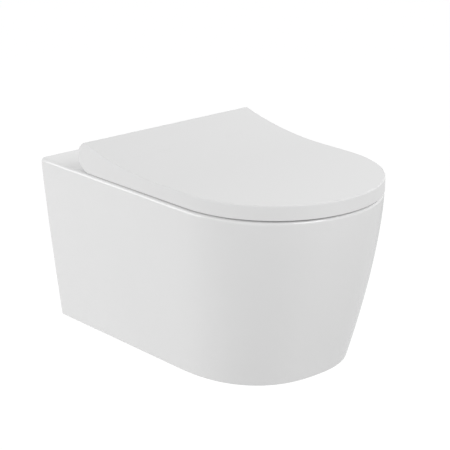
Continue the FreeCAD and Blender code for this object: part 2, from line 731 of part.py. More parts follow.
def cover():
    """Thin shell with a skirt, a round end wall and two knuckles inside."""
    outside = cover_block()
    inner_half_width = COVER_WIDTH / 2 - COVER_WALL
    plan = d_outline(inner_half_width, COVER_RUN, COVER_LENGTH - COVER_WALL, COVER_POWER, FOOT_Z, 0.0)
    inside = Part.Face(plan).extrude(V(0, 0, 600))
    inside = inside.common(cover_prism(COVER_WALL, COVER_WIDTH, RIM_Z - 20))
    reach = COVER_END_R + 16
    wedge_corner = hinge_point(reach, END_WALL_LOW_ANGLE)
    below_end_wall = side_prism(
        [(HINGE_Y, HINGE_Z), wedge_corner, (wedge_corner[0], RIM_Z - 20), (HINGE_Y, RIM_Z - 20)],
        -inner_half_width, inner_half_width,
    )
    shell = outside.cut(inside).cut(below_end_wall)
    notch_corner = hinge_point(reach, NOTCH_HIGH_ANGLE)
    for side, sign in SIDES.items():
        inner_x, outer_x = post_span(sign)
        shell = shell.cut(side_prism(
            [(HINGE_Y, HINGE_Z), notch_corner, (notch_corner[0], RIM_Z - 20), (HINGE_Y, RIM_Z - 20)],
            inner_x - sign * NOTCH_GAP, outer_x + sign * NOTCH_GAP,
        ))
        near_x, far_x = knuckle_span(sign, COVER_KNUCKLE, outboard=True)
        web = block(near_x, far_x, HINGE_Y - KNUCKLE_R, HINGE_Y + KNUCKLE_R,
                    HINGE_Z, HINGE_Z + COVER_END_R).common(outside)
        knuckle = web.fuse(hinge_bar(KNUCKLE_R, near_x, far_x))
        if side == "left":
            socket = flat_bar(near_x, far_x)
        else:
            socket = hinge_bar(JOURNAL_BORE_R, near_x, far_x)
        shell = shell.fuse(knuckle).cut(socket)
    return shell


def cover_buffer(x, y):
    """Pad on the cover's inside that meets the seat."""
    return cylinder_z(x, y, BUFFER_R, SEAT_LOW_Z + SEAT, COVER_TOP_Z - COVER_WALL)


# ---- all nodes

def build():
    skin = shell()
    bowl_section, trap_section = bowl_and_trap()
    nodes = {
        "pan": pan(skin), "pan_back": pan_back(skin), "bowl": bowl_section, "trap": trap_section,
        "flush_way": flush_way(), "inlet_seal": inlet_seal(), "seat": seat(), "cover": cover(),
    }
    for side, sign in SIDES.items():
        fixing_x = sign * FIXING_SPACING / 2
        nodes["fixing_boss_" + side] = fixing_boss(fixing_x)
        nodes["fixing_sleeve_" + side] = fixing_sleeve(fixing_x)
        nodes["fixing_washer_" + side] = fixing_washer(fixing_x)
        nodes["fixing_nut_" + side] = fixing_nut(fixing_x)
        nodes["hinge_post_" + side] = hinge_post(sign)
        nodes["hinge_gasket_" + side] = hinge_gasket(sign)
        nodes["hinge_screw_" + side] = hinge_screw(sign)
        nodes["hinge_cap_" + side] = hinge_cap(sign)
        nodes["expansion_plug_" + side] = expansion_plug(sign)
        nodes["plug_nut_" + side] = plug_nut(sign)
        for place, (x, y) in SEAT_BUFFERS.items():
            nodes["seat_buffer_" + place + "_" + side] = seat_buffer(sign * x, y)
        for place, (x, y) in COVER_BUFFERS.items():
            nodes["cover_buffer_" + place + "_" + side] = cover_buffer(sign * x, y)
    rest_x, drive_x = post_span(SIDES["left"])
    nodes["cover_damper"] = damper_body(drive_x, rest_x, SEAT_KNUCKLE)
    nodes["cover_damper_cap"] = damper_cap(drive_x, rest_x)
    nodes["cover_damper_shaft"] = damper_shaft(drive_x, rest_x, COVER_KNUCKLE)
    drive_x, rest_x = post_span(SIDES["right"])
    nodes["seat_damper"] = damper_body(drive_x, rest_x, COVER_KNUCKLE)
    nodes["seat_damper_cap"] = damper_cap(drive_x, rest_x)
    nodes["seat_damper_shaft"] = damper_shaft(drive_x, rest_x, SEAT_KNUCKLE)
    return nodes


os.makedirs("parts", exist_ok=True)
for name, shape in build().items():
    shape.exportStep("parts/" + name + ".step")
    print(name, len(shape.Solids), round(shape.Volume / 1000, 2), "cm3", shape.isValid())
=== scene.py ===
import math

import bmesh
import bpy
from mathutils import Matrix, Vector


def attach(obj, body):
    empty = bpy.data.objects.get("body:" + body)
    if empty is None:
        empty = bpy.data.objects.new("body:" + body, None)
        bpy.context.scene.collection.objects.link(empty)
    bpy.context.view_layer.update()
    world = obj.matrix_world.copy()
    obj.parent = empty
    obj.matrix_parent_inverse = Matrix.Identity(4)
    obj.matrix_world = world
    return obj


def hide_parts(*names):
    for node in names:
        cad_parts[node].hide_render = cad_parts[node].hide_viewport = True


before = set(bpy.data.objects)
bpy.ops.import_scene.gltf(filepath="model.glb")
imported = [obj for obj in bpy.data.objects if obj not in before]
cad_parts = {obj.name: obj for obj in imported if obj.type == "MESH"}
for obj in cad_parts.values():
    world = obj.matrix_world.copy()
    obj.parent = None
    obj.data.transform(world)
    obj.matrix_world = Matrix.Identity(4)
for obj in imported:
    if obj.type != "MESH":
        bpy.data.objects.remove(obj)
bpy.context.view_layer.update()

# Wall hung toilet. Metres, +Z up, the wall at y = 0 and the front of the pan towards -Y.

# ---- pan
RIM_Z = 0.080
FOOT_Z = -0.202
PAN_HEIGHT = RIM_Z - FOOT_Z
PAN_LENGTH = 0.540
PAN_WIDTH = 0.350
PAN_RUN = 0.355
PAN_POWER = 2.05
FOOT_SHORTER = 0.0685
FOOT_NARROWER = 0.0645
FOOT_RUN_SHORTER = 0.047
FOOT_SQUARER = 0.35
SHORTER_BEND = 1.44
NARROWER_BEND = 1.17
RIM_ROUND = 0.006
RIM_LAND = 0.001
FOOT_ROUND = 0.003
BACK_CORNER = 0.003
WALL = 0.011
DECK = 0.014
BACK_PLATE = 0.014
BACK_PLATE_LOW_Z = -0.035
ACCESS_HALF_WIDTH = 0.118
ACCESS_DEPTH = 0.150

# height, front, back and half width of the bowl's inside
BOWL_STATIONS = [
    (0.080, -0.505, -0.172, 0.133),
    (0.040, -0.501, -0.174, 0.130),
    (-0.010, -0.480, -0.180, 0.116),
    (-0.060, -0.430, -0.190, 0.090),
    (-0.105, -0.368, -0.200, 0.064),
    (-0.150, -0.318, -0.208, 0.046),
    (-0.186, -0.290, -0.218, 0.034),
]
BOWL_POWER = 2.3
BOWL_WALL = 0.010
BOWL_ROUND = 0.006
SUMP_ROUND = 0.012

# y, z and radius of the turn
TRAP_ROUTE = [
    (-0.262, -0.159, 0.0),
    (-0.172, -0.159, 0.038),
    (-0.172, -0.061, 0.038),
    (-0.111, -0.061, 0.038),
    (-0.085, -0.100, 0.038),
    (-0.058, -0.100, 0.0),
]
TRAP_BORE_R = 0.025
TRAP_WALL = 0.009
OUTLET_Z = -0.100
SPIGOT_R = 0.051
SPIGOT_LENGTH = 0.050
SPIGOT_BORE_R = 0.040
HORN_R = 0.048
HORN_LENGTH = 0.076
HORN_CONE = 0.018
PIPE_SETBACK = 0.002
INLET_Z = 0.035
INLET_BORE_R = 0.0275
INLET_WALL = 0.0085
INLET_LENGTH = 0.062
DUCT_HALF_WIDTH = 0.030
DUCT_LOW_Z = 0.024
DUCT_HIGH_Z = 0.052
DUCT_WALL = 0.010
DUCT_END_Y = -0.186
SEAL_RECESS_R = 0.0325
SEAL_RECESS = 0.004
FIXING_X = 0.090
BOSS_R = 0.023
BOSS_LENGTH = 0.050
BOSS_HOLE_R = 0.011

# ---- hinge, one axis for seat and cover
HINGE_Y = -0.1225
HINGE_Z = 0.106
POST_X = 0.0775
POST_HALF_WIDTH = 0.013
HOLE_Y = -0.162
HOLE_R = 0.007
KNUCKLE_R = 0.012
JOURNAL_R = 0.0045
JOURNAL_BORE_R = 0.00455
SHAFT_FLAT = 0.00325
SIDE_GAP = 0.0004
SEAT_KNUCKLE = 0.0181
COVER_KNUCKLE = 0.0141

# ---- seat
SEAT_LOW_Z = 0.084
SEAT_TOP_Z = 0.097
SEAT_HALF_WIDTH = 0.164
SEAT_LENGTH = 0.533
SEAT_BACK_Y = -0.148
SEAT_HOLE = (0.112, -0.476, -0.188)
SEAT_TOP_ROUND = 0.004
SEAT_LOW_ROUND = 0.002
RECESS_FRONT_Y = -0.1785
SEAT_BUFFERS = [(0.088, -0.488), (0.140, -0.235)]
BUFFER_STEM_R = 0.0035
BUFFER_STEM = 0.005
ARM_LOW_Z = HINGE_Z - 0.0082
ARM_LAP = 0.0005
ARM_SHOULDER = 0.004
ARM_SHOULDER_RISE = 0.001

# ---- cover
COVER_HALF_WIDTH = 0.172
COVER_LENGTH = 0.541
COVER_RUN = 0.364
COVER_POWER = 2.05
COVER_LOW_Z = 0.0825
# the lower edge: its height at the hinge, and its slope up to the nose
COVER_REST_Z = 0.0808
COVER_REST_RISE = 0.0036
COVER_TOP_Z = 0.1045
COVER_WALL = 0.005
DISH_START_Y = -0.300
DISH_R = 0.660
COVER_END_R = 0.024
CREASE_ROUND = 0.003
COVER_ROUND = 0.0022
END_WALL_LOW = -50.0
NOTCH_HIGH = 36.0
NOTCH_GAP = 0.002
NOTCH_LOW_Z = 0.062
BELOW_COVER_Z = 0.060
PLAN_LOW_Z = -0.1
PLAN_HIGH_Z = 0.2
BLANK_HALF_WIDTH = 0.19
WEB_REACH = 0.008
WEB_RISE = 0.0195

# ---- modelling
# how far a cutting tool passes the surface that it opens
CUT = 0.001
FINE_CUT = 0.0001
SMOOTH_ANGLE = 30.0


# ---- modelling by operator

def let_go():
    """Object mode, with nothing selected."""
    if bpy.context.mode != "OBJECT":
        bpy.ops.object.mode_set(mode="OBJECT")
    bpy.ops.object.select_all(action="DESELECT")


def take(piece):
    let_go()
    piece.select_set(True)
    bpy.context.view_layer.objects.active = piece


def put_ring(piece, ring):
    """Moves the selected vertices on to the ring, each in its own column."""
    mesh = bmesh.from_edit_mesh(piece.data)
    column = mesh.verts.layers.int["column"]
    for vertex in mesh.verts:
        if vertex.select:
            vertex.co = ring[vertex[column]]
    bmesh.update_edit_mesh(piece.data)


def ring_body(name, rings):
    """Closed body: a circle is laid on the first ring, filled, and extruded on to each next ring."""
    let_go()
    bpy.ops.mesh.primitive_circle_add(vertices=len(rings[0]), radius=0.1, fill_type="NOTHING")
    piece = bpy.context.active_object
    piece.name = name
    column = piece.data.attributes.new("column", "INT", "POINT")
    column.data.foreach_set("value", range(len(rings[0])))
    bpy.ops.object.mode_set(mode="EDIT")
    bpy.ops.mesh.select_all(action="SELECT")
    put_ring(piece, rings[0])
    bpy.ops.mesh.edge_face_add()
    for ring in rings[1:]:
        bpy.ops.mesh.extrude_region_move()
        put_ring(piece, ring)
    bpy.ops.mesh.select_all(action="SELECT")
    bpy.ops.mesh.normals_make_consistent(inside=False)
    let_go()
    return piece


def box(name, x_from, x_to, y_from, y_to, z_from, z_to):
    let_go()
    middle = ((x_from + x_to) / 2, (y_from + y_to) / 2, (z_from + z_to) / 2)
    bpy.ops.mesh.primitive_cube_add(size=1.0, location=middle)
    piece = bpy.context.active_object
    piece.name = name
    piece.scale = (abs(x_to - x_from), abs(y_to - y_from), abs(z_to - z_from))
    bpy.ops.object.transform_apply()
    return piece


def bar(name, axis, place, radius, low, high, steps=48, end_radius=None):
    """Round bar along X, Y or Z from low to high; place is its other two coordinates."""
    let_go()
    middle = (low + high) / 2
    spots = {"x": (middle, *place), "y": (place[0], middle, place[1]), "z": (*place, middle)}
    turns = {"x": (0, math.pi / 2, 0), "y": (-math.pi / 2, 0, 0), "z": (0, 0, 0)}
    if end_radius is None:
        bpy.ops.mesh.primitive_cylinder_add(
            vertices=steps, radius=radius, depth=high - low, location=spots[axis], rotation=turns[axis])
    else:
        bpy.ops.mesh.primitive_cone_add(
            vertices=steps, radius1=radius, radius2=end_radius, depth=high - low,
            location=spots[axis], rotation=turns[axis])
    piece = bpy.context.active_object
    piece.name = name
    bpy.ops.object.transform_apply()
    return piece


def side_body(name, outline, x_from, x_to):
    """Body with a side view of (y, z) corners, drawn across from x_from to x_to."""
    return ring_body(name, [[(x, y, z) for y, z in outline] for x in (x_from, x_to)])


def combine(piece, tools, how):
    """Cuts the tools from the piece, joins them to it or keeps what they share, and uses them up."""
    for tool in tools:
        take(piece)
        step = piece.modifiers.new("combine", "BOOLEAN")
        step.operation = how
        step.solver = "EXACT"
        step.material_mode = "TRANSFER"
        step.object = tool
        bpy.ops.object.modifier_apply(modifier=step.name)
        bpy.data.objects.remove(tool)
    return piece


def select_edges(piece, wanted):
    """Edit mode with only the edges selected for which wanted(middle, direction, angle) is true."""
    take(piece)
    bpy.ops.object.mode_set(mode="EDIT")
    bpy.ops.mesh.select_mode(type="EDGE")
    bpy.ops.mesh.select_all(action="DESELECT")
    mesh = bmesh.from_edit_mesh(piece.data)
    for edge in mesh.edges:
        first, last = (v.co for v in edge.verts)
        angle = math.degrees(edge.calc_face_angle(0.0))
        if wanted((first + last) / 2, (last - first).normalized(), angle):
            edge.select_set(True)
    bmesh.update_edit_mesh(piece.data)


def round_edges(piece, wanted, radius, segments):
    select_edges(piece, wanted)
    bpy.ops.mesh.bevel(offset=radius, segments=segments, profile=0.5, affect="EDGES")
    let_go()


def trim_below(piece, point, rise):
    """Trims the piece below a plane through the point, which rises towards the front, and closes it."""
    take(piece)
    bpy.ops.object.mode_set(mode="EDIT")
    bpy.ops.mesh.select_all(action="SELECT")
    bpy.ops.mesh.bisect(plane_co=point, plane_no=(0, -rise, -1), use_fill=True, clear_outer=True)
    let_go()


def finish_mesh(piece):
    """Merges doubles, points faces outwards, and smooths all but the sharp edges."""
    take(piece)
    bpy.ops.object.mode_set(mode="EDIT")
    bpy.ops.mesh.select_all(action="SELECT")
    bpy.ops.mesh.remove_doubles(threshold=1e-6)
    bpy.ops.mesh.normals_make_consistent(inside=False)
    let_go()
    take(piece)
    bpy.ops.object.shade_smooth_by_angle(angle=math.radians(SMOOTH_ANGLE))
    step = piece.modifiers.new("even shading", "WEIGHTED_NORMAL")
    step.keep_sharp = True
    bpy.ops.object.modifier_apply(modifier=step.name)
    if "column" in piece.data.attributes:
        piece.data.attributes.remove(piece.data.attributes["column"])
    return piece


# ---- outlines

def spread(value, power):
    return math.copysign(abs(value) ** power, value)


def d_ring(half_width, run, reach, power, z, back_y=0.0, corner=0.0, nose=96, side=24, back=16):
    """Plan at height z: superellipse nose, straight sides, rear corners and a straight back."""
    ring = []
    for i in range(nose):
        angle = math.pi * i / nose
        x = half_width * spread(math.cos(angle), 2 / power)
        ring.append((x, -run - (reach - run) * spread(math.sin(angle), 2 / power), z))
    side_end = back_y - corner
    left = [(-half_width, -run + (run + side_end) * i / side, z) for i in range(side)]
    turn = 3 if corner else 1
    for i in range(turn):
        angle = math.pi / 2 * i / turn
        left.append((-half_width + corner * (1 - math.cos(angle)), side_end + corner * math.sin(angle), z))
    ring += left
    width = half_width - corner
    ring += [(-width + 2 * width * i / back, back_y, z) for i in range(back + 1)]
    ring += [(-x, y, level) for x, y, level in reversed(left[1:])]
    return [Vector(point) for point in ring]


def pan_ring(z, inset=0.0, back_y=0.0, corner=BACK_CORNER):
    depth = min(max((RIM_Z - z) / PAN_HEIGHT, 0.0), 1.0)
    shorter = depth ** SHORTER_BEND
    narrower = depth ** NARROWER_BEND
    half_width = (PAN_WIDTH - FOOT_NARROWER * narrower) / 2
    reach = PAN_LENGTH - FOOT_SHORTER * shorter
    run = PAN_RUN - FOOT_RUN_SHORTER * shorter
    power = PAN_POWER + FOOT_SQUARER * depth
    return d_ring(half_width - inset, run, reach - inset, power, z, back_y, corner)


BOWL_MIDDLE = Vector((0, (BOWL_STATIONS[0][1] + BOWL_STATIONS[0][2]) / 2, 0))
COLUMN_ANGLES = [
    math.atan2(p.y - BOWL_MIDDLE.y, p.x) for p in pan_ring(RIM_Z, RIM_ROUND)
]


def bowl_station(z):
    """Front, back and half width at z, on smooth curves through the stations."""
    top_down = BOWL_STATIONS
    last = len(top_down) - 1
    k = max(i for i in range(last) if z <= top_down[i][0] + 1e-9 or i == 0)
    before, here = top_down[max(k - 1, 0)], top_down[k]
    after, beyond = top_down[k + 1], top_down[min(k + 2, last)]
    span = after[0] - here[0]
    t = (z - here[0]) / span
    values = []
    for c in (1, 2, 3):
        slope_here = (after[c] - before[c]) / (after[0] - before[0]) * span
        slope_after = (beyond[c] - here[c]) / (beyond[0] - here[0]) * span
        values.append(
            here[c] * (2 * t ** 3 - 3 * t ** 2 + 1) + slope_here * (t ** 3 - 2 * t ** 2 + t)
            + after[c] * (3 * t ** 2 - 2 * t ** 3) + slope_after * (t ** 3 - t ** 2))
    return values


def oval_ring(front, back, half_width, z, angles):
    """Superellipse with a point in each of the given directions from its middle."""
    middle, half_length = (front + back) / 2, (back - front) / 2
    ring = []
    for angle in angles:
        x, y = math.cos(angle), math.sin(angle)
        reach = (abs(x / half_width) ** BOWL_POWER + abs(y / half_length) ** BOWL_POWER) ** (-1 / BOWL_POWER)
        ring.append(Vector((x * reach, middle + y * reach, z)))
    return ring


def bowl_ring(z, grow=0.0, at_z=None):
    front, back, half_width = bowl_station(min(max(z, BOWL_STATIONS[-1][0]), BOWL_STATIONS[0][0]))
    return oval_ring(front - grow, back + grow, half_width + grow, z if at_z is None else at_z, COLUMN_ANGLES)


# ---- pan

def quarter(steps):
    """Angles of a quarter turn, ends included."""
    return [math.pi / 2 * i / steps for i in range(steps + 1)]


def pan_outside():
    """Foot, skirt and rim outside, then over the flat rim and down the bowl to the sump."""
    rings = []
    for a in reversed(quarter(4)):
        rings.append(pan_ring(FOOT_Z + FOOT_ROUND * (1 - math.sin(a)), FOOT_ROUND * (1 - math.cos(a))))
    skirt_low, skirt_high = FOOT_Z + FOOT_ROUND, RIM_Z - RIM_ROUND
    for i in range(1, 24):
        rings.append(pan_ring(skirt_low + (skirt_high - skirt_low) * i / 24))
    for a in quarter(8):
        rings.append(pan_ring(skirt_high + RIM_ROUND * math.sin(a), RIM_ROUND * (1 - math.cos(a))))
    rings.append(pan_ring(RIM_Z, RIM_ROUND + RIM_LAND))
    rings.append(bowl_ring(RIM_Z, BOWL_ROUND + RIM_LAND))
    for a in quarter(6):
        rings.append(bowl_ring(RIM_Z - BOWL_ROUND * (1 - math.cos(a)), BOWL_ROUND * (1 - math.sin(a))))
    sump_z = BOWL_STATIONS[-1][0]
    bowl_high, bowl_low = RIM_Z - BOWL_ROUND, sump_z + SUMP_ROUND
    for i in range(1, 30):
        rings.append(bowl_ring(bowl_high + (bowl_low - bowl_high) * i / 30))
    for a in quarter(5):
        in_by, at_z = -SUMP_ROUND * (1 - math.cos(a)), bowl_low - SUMP_ROUND * math.sin(a)
        rings.append(bowl_ring(bowl_low, in_by, at_z))
    return ring_body("pan_body", rings)


def trap_bar(radius, steps=40):
    """Round bar along the trap's route, its turns in steps of 7.5 degrees."""
    points = [Vector((0, y, z)) for y, z, _ in TRAP_ROUTE]
    path = [points[0]]
    for i in range(1, len(points) - 1):
        before = (points[i - 1] - points[i]).normalized()
        after = (points[i + 1] - points[i]).normalized()
        half_turn = (math.pi - before.angle(after)) / 2
        radius_here = TRAP_ROUTE[i][2]
        centre = points[i] + (before + after).normalized() * (radius_here / math.cos(half_turn))
        start = points[i] + before * radius_here * math.tan(half_turn) - centre
        end = points[i] + after * radius_here * math.tan(half_turn) - centre
        count = max(2, round(math.degrees(2 * half_turn) / 7.5))
        for k in range(count + 1):
            t = k / count
            swing = start.slerp(end, t) if start.length else start
            path.append(centre + swing.normalized() * radius_here)
    path.append(points[-1])
    rings = []
    for i, point in enumerate(path):
        ahead = path[min(i + 1, len(path) - 1)] - path[max(i - 1, 0)]
        across = Vector((1, 0, 0))
        up = ahead.cross(across).normalized()
        rings.append([
            point + radius * (across * math.cos(a) + up * math.sin(a))
            for a in [2 * math.pi * k / steps for k in range(steps)]
        ])
    return ring_body("trap", rings)


def outlet_bars(outside):
    end_y = -PIPE_SETBACK
    back_y = end_y - HORN_LENGTH
    narrow = TRAP_BORE_R + (TRAP_WALL if outside else 0.0)
    wide = HORN_R if outside else SPIGOT_BORE_R
    tip_y = end_y if outside else CUT
    pieces = [
        bar("horn_cone", "y", (0, OUTLET_Z), narrow, back_y, back_y + HORN_CONE, 64, wide),
        bar("horn", "y", (0, OUTLET_Z), wide, back_y + HORN_CONE - 0.0002, tip_y, 64),
    ]
    if outside:
        pieces.append(bar("spigot", "y", (0, OUTLET_Z), SPIGOT_R, end_y - SPIGOT_LENGTH, end_y, 64))
    return pieces


def flush_bars(outside):
    wall = INLET_WALL if outside else 0.0
    duct_wall = DUCT_WALL if outside else 0.0
    duct_end = BOWL_STATIONS[0][2] - BOWL_WALL / 2 if outside else DUCT_END_Y
    front = -INLET_LENGTH
    tube_end = -FINE_CUT if outside else CUT
    tube = bar("inlet_tube", "y", (0, INLET_Z), INLET_BORE_R + wall, front - wall, tube_end, 64)
    duct = box("duct", -DUCT_HALF_WIDTH - duct_wall, DUCT_HALF_WIDTH + duct_wall, duct_end, front + 0.006,
               DUCT_LOW_Z - duct_wall, DUCT_HIGH_Z + duct_wall)
    return [tube, duct]


def pan():
    """The casting: one skin outside and in the bowl, hollow between, with its ways for water cut through."""
    body = pan_outside()
    body.data.materials.append(FINISHES["glazed_white"])
    inside = ring_body("inside", [
        bowl_ring(z, BOWL_WALL, at_z)
        for z, at_z in [(-0.186, -0.196), (-0.186, -0.186)] + [(z / 1000, None) for z in range(-176, 81, 16)]
        + [(0.080, 0.080), (0.080, 0.090)]
    ])
    tools = [trap_bar(TRAP_BORE_R + TRAP_WALL)] + outlet_bars(True) + flush_bars(True)
    for x in (-FIXING_X, FIXING_X):
        tools.append(bar("boss", "y", (x, 0), BOSS_R, -BOSS_LENGTH, -FINE_CUT))
    combine(inside, tools, "UNION")
    levels = [FOOT_Z + WALL + (PAN_HEIGHT - WALL - DECK) * i / 14 for i in range(15)]
    hollow = ring_body("hollow", [pan_ring(z, WALL, -BACK_PLATE, 0.0) for z in levels])
    low = FOOT_Z - 0.005
    rear = box("rear", -ACCESS_HALF_WIDTH, ACCESS_HALF_WIDTH,
               -BACK_PLATE - CUT, 0.005, low, BACK_PLATE_LOW_Z)
    under = box("under", -ACCESS_HALF_WIDTH, ACCESS_HALF_WIDTH,
                -ACCESS_DEPTH, 0.0048, low, FOOT_Z + WALL + CUT)
    combine(hollow, [rear, under], "UNION")
    combine(hollow, [inside], "DIFFERENCE")
    hollow.data.materials.clear()
    hollow.data.materials.append(FINISHES["bare_clay"])
    passages = [hollow, trap_bar(TRAP_BORE_R)] + outlet_bars(False) + flush_bars(False)
    passages.append(bar("recess", "y", (0, INLET_Z), SEAL_RECESS_R, -SEAL_RECESS, 0.0015, 64))
    for sign in (-1, 1):
        passages.append(bar("boss_hole", "y", (sign * FIXING_X, 0), BOSS_HOLE_R,
                            -BOSS_LENGTH - CUT, CUT))
        passages.append(bar("hinge_hole", "z", (sign * POST_X, HOLE_Y), HOLE_R,
                            RIM_Z - DECK - 0.012, RIM_Z + CUT))
    combine(body, passages, "DIFFERENCE")
    finish_mesh(body)
    clay = body.data.materials.find("bare_clay")
    for face in body.data.polygons:
        if (face.normal.y > 0.99 and face.center.y > -0.0005) or face.center.z < FOOT_Z + 1e-5:
            face.material_index = clay
    return body


# ---- seat

def ring_angles(count):
    return [2 * math.pi * i / count for i in range(count)]


def post_span(sign):
    return sign * (POST_X - POST_HALF_WIDTH), sign * (POST_X + POST_HALF_WIDTH)


def knuckle_span(sign, width, outboard):
    inner_x, outer_x = post_span(sign)
    if outboard:
        return sorted((outer_x + sign * SIDE_GAP, outer_x + sign * (SIDE_GAP + width)))
    return sorted((inner_x - sign * SIDE_GAP, inner_x - sign * (SIDE_GAP + width)))


def hinge_bar(name, radius, low, high, steps=48):
    return bar(name, "x", (HINGE_Y, HINGE_Z), radius, low, high, steps)


def socket_cut(low, high, with_flats):
    """Bore through a knuckle: round for the plain journal, with two flats for the damper's shaft."""
    if not with_flats:
        return hinge_bar("socket", JOURNAL_BORE_R, low - FINE_CUT, high + FINE_CUT)
    socket = hinge_bar("socket", JOURNAL_R, low - FINE_CUT, high + FINE_CUT)
    flats = box("flats", low - CUT, high + CUT, HINGE_Y - 0.006, HINGE_Y + 0.006,
                HINGE_Z - SHAFT_FLAT, HINGE_Z + SHAFT_FLAT)
    return combine(socket, [flats], "INTERSECT")


def seat():
    """Ring with rounded edges, a recess in front of each post, and two knuckles."""
    plan = [
        d_ring(SEAT_HALF_WIDTH, COVER_RUN, SEAT_LENGTH, COVER_POWER, z, SEAT_BACK_Y, nose=96, side=8, back=8)
        for z in (SEAT_LOW_Z, SEAT_TOP_Z)
    ]
    ring = ring_body("seat_ring", plan)
    half_width, front, back = SEAT_HOLE
    hole = ring_body("hole", [
        oval_ring(front, back, half_width, z, ring_angles(128))
        for z in (SEAT_LOW_Z - CUT, SEAT_TOP_Z + CUT)
    ])
    combine(ring, [hole], "DIFFERENCE")

    def at_top(middle, way, angle):
        return angle > 60 and middle.z > SEAT_TOP_Z - 1e-5

    def at_foot(middle, way, angle):
        return angle > 60 and middle.z < SEAT_LOW_Z + 1e-5

    round_edges(ring, at_top, SEAT_TOP_ROUND, 5)
    round_edges(ring, at_foot, SEAT_LOW_ROUND, 3)
    cuts = []
    for sign in (-1, 1):
        low, high = sorted(post_span(sign))
        cuts.append(box("recess", low - SIDE_GAP, high + SIDE_GAP, RECESS_FRONT_Y, SEAT_BACK_Y + CUT,
                        SEAT_LOW_Z - CUT, SEAT_TOP_Z + CUT))
        for x, y in SEAT_BUFFERS:
            cuts.append(bar("stem_hole", "z", (sign * x, y), BUFFER_STEM_R, SEAT_LOW_Z - CUT,
                            SEAT_LOW_Z + BUFFER_STEM, 32))
    combine(ring, cuts, "DIFFERENCE")
    middle_z = (SEAT_LOW_Z + SEAT_TOP_Z) / 2
    for sign in (-1, 1):
        low, high = knuckle_span(sign, SEAT_KNUCKLE, False)
        arm = side_body("arm", [
            (HINGE_Y, ARM_LOW_Z), (SEAT_BACK_Y - ARM_LAP, ARM_LOW_Z),
            (SEAT_BACK_Y - ARM_LAP, middle_z), (RECESS_FRONT_Y, middle_z), (RECESS_FRONT_Y, SEAT_TOP_Z),
            (SEAT_BACK_Y - ARM_SHOULDER, HINGE_Z + ARM_SHOULDER_RISE), (HINGE_Y, HINGE_Z + KNUCKLE_R / 2),
        ], low, high)
        combine(arm, [hinge_bar("knuckle", KNUCKLE_R, low, high)], "UNION")
        combine(ring, [arm], "UNION")
        combine(ring, [socket_cut(low, high, sign > 0)], "DIFFERENCE")
    return finish_mesh(ring)


# ---- cover

def hinge_point(radius, degrees):
    angle = math.radians(degrees)
    return HINGE_Y + radius * math.cos(angle), HINGE_Z + radius * math.sin(angle)


def cover_side_view(offset, low_z):
    """(y, z) corners: flat in front, dished up towards the back, and round about the hinge axis."""
    top_z, dish_r, end_r = COVER_TOP_Z - offset, DISH_R + offset, COVER_END_R - offset
    dish_z = COVER_TOP_Z + DISH_R
    apart = math.hypot(HINGE_Y - DISH_START_Y, HINGE_Z - dish_z)
    along = (apart ** 2 + end_r ** 2 - dish_r ** 2) / (2 * apart)
    to_dish = math.atan2(dish_z - HINGE_Z, DISH_START_Y - HINGE_Y)
    crease = to_dish - math.acos(along / end_r)
    crease_y = HINGE_Y + end_r * math.cos(crease)
    dish_steps, end_steps = 24, 28
    corners = [(-COVER_LENGTH - 0.02, low_z), (-COVER_LENGTH - 0.02, top_z)]
    for i in range(dish_steps + 1):
        y = DISH_START_Y + (crease_y - DISH_START_Y) * i / dish_steps
        corners.append((y, dish_z - math.sqrt(dish_r ** 2 - (y - DISH_START_Y) ** 2)))
    low = math.degrees(math.asin(max((low_z - HINGE_Z) / end_r, -1.0)))
    crease = math.degrees(crease)
    for i in range(1, end_steps + 1):
        corners.append(hinge_point(end_r, crease + (low - crease) * i / end_steps))
    if low < -89.9:
        corners.append((HINGE_Y, low_z))
    return corners, crease_y


def cover_blank(offset, low_z):
    """Side view drawn across the width and cut to the D plan, drawn in by offset."""
    outline, crease_y = cover_side_view(offset, low_z)
    blank = side_body("cover_blank", outline, -BLANK_HALF_WIDTH, BLANK_HALF_WIDTH)
    plan = ring_body("plan", [
        d_ring(COVER_HALF_WIDTH - offset, COVER_RUN, COVER_LENGTH - offset, COVER_POWER, z, side=1, back=1)
        for z in (PLAN_LOW_Z, PLAN_HIGH_Z)
    ])
    return combine(blank, [plan], "INTERSECT"), crease_y


